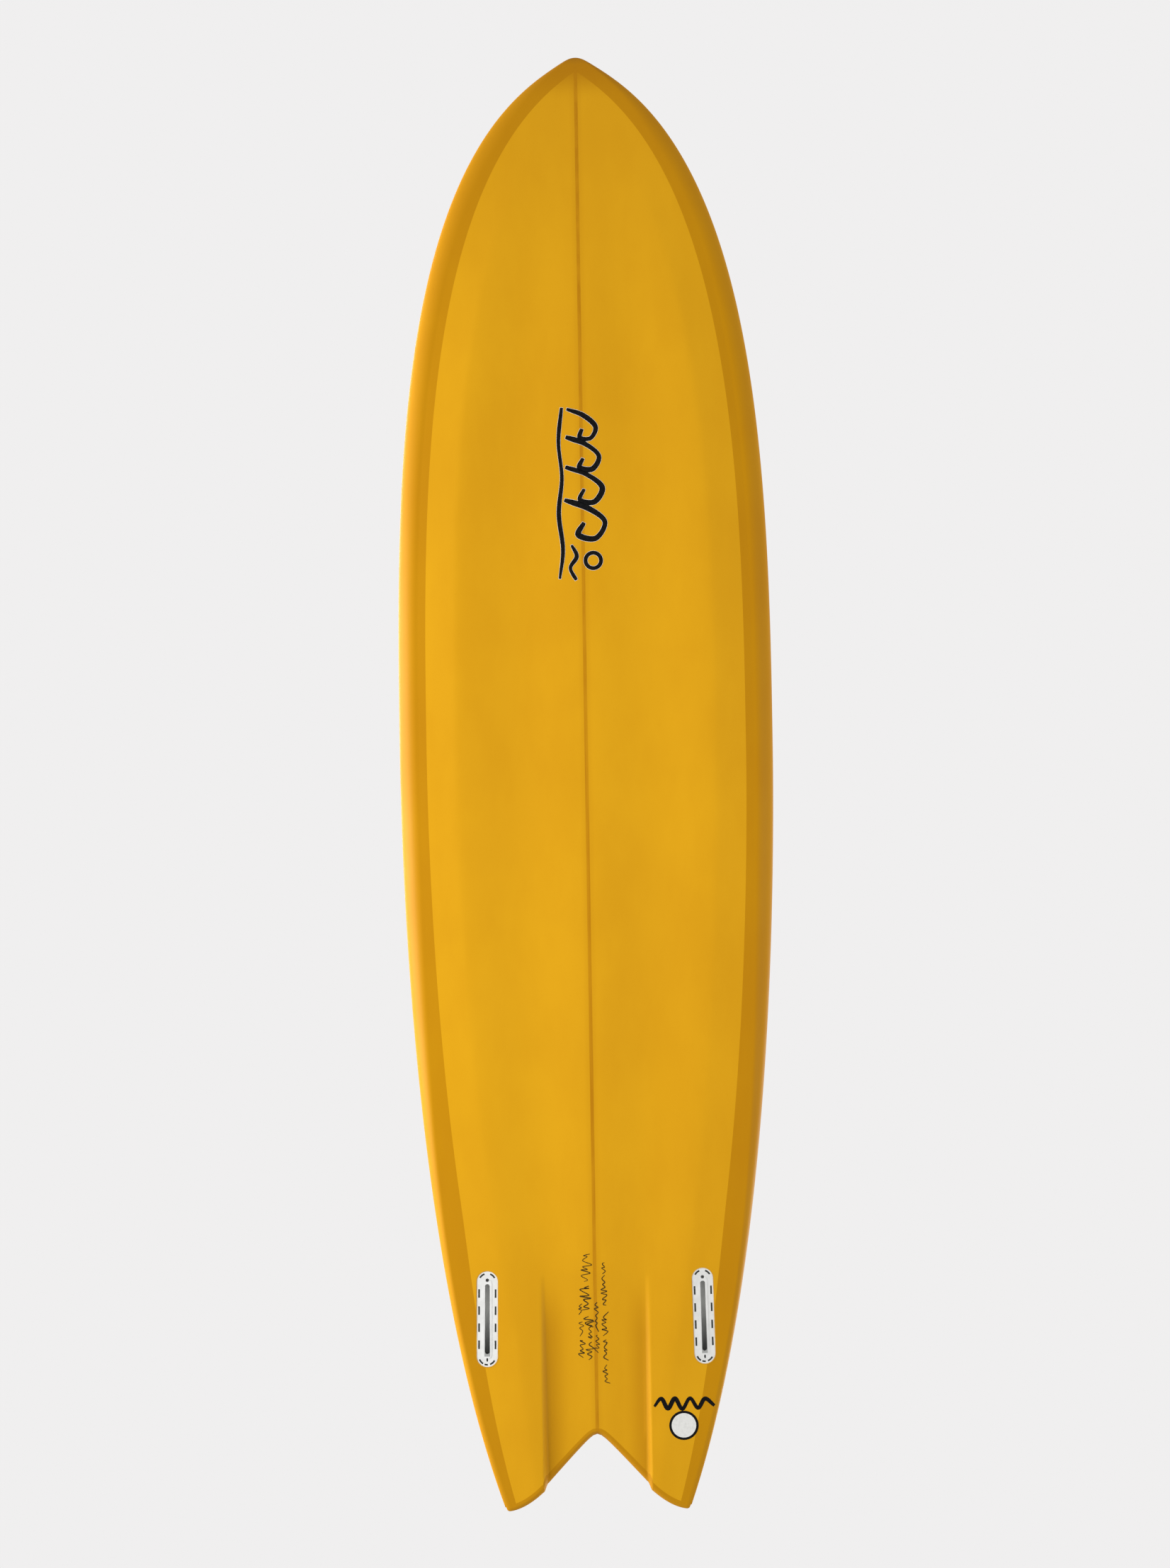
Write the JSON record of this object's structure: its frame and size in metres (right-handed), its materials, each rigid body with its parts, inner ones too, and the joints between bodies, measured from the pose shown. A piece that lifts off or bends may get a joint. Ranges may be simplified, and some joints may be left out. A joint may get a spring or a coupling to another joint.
{
  "type": "surfboard",
  "caption": "Swallow-tail surfboard of foam, wood and tinted glass laminate, with a concave bevelled bottom, a tail channel, slotted fin boxes and a leash plug.",
  "frame": {"origin": "midway along the board on the stringer, at the level of the bottom's lowest point", "axes": "+X to the nose, +Y to the port rail, +Z out of the deck; the board lies deck up"},
  "size_m": [2.0317, 0.5204, 0.1289],
  "materials": {
    "foam": "shaped closed-cell foam",
    "stringer_wood": "planed",
    "bottom_glass": "honey-tinted glass laminate with a sanded satin coat",
    "deck_patch_glass": "glass cloth in clear resin",
    "deck_glass": "amber-tinted glass laminate with a sanded satin coat",
    "box_resin": "amber-tinted cast resin, sanded flush",
    "box_plastic": "moulded nylon, sanded face",
    "screw_steel": "stainless",
    "plug_plastic": "moulded plastic",
    "pin_steel": "stainless"
  },
  "bodies": {
    "board": {"blank_port": "foam", "blank_starboard": "foam", "stringer": "stringer_wood", "bottom_laminate": "bottom_glass", "deck_patch": "deck_patch_glass", "deck_laminate": "deck_glass", "fin_box_resin_port": "box_resin", "fin_box_resin_starboard": "box_resin", "fin_box_port": "box_plastic", "fin_box_starboard": "box_plastic", "leash_plug_resin": "box_resin", "leash_plug": "plug_plastic", "leash_pin": "pin_steel"},
    "fin_screw_port": {"fin_screw_port": "screw_steel"},
    "fin_screw_starboard": {"fin_screw_starboard": "screw_steel"}
  },
  "joints": [
    {"name": "fin_screw_turn_port", "type": "hinge", "parent": "board", "child": "fin_screw_port", "pos_m": [-0.69104, 0.14973, 0.02424], "axis": [-0.0887, 0.0574, -0.9944], "range_deg": [-1440, 1080]},
    {"name": "fin_screw_turn_starboard", "type": "hinge", "parent": "board", "child": "fin_screw_starboard", "pos_m": [-0.69104, -0.14973, 0.02424], "axis": [-0.0887, -0.0574, -0.9944], "range_deg": [-1440, 1080]}
  ]
}
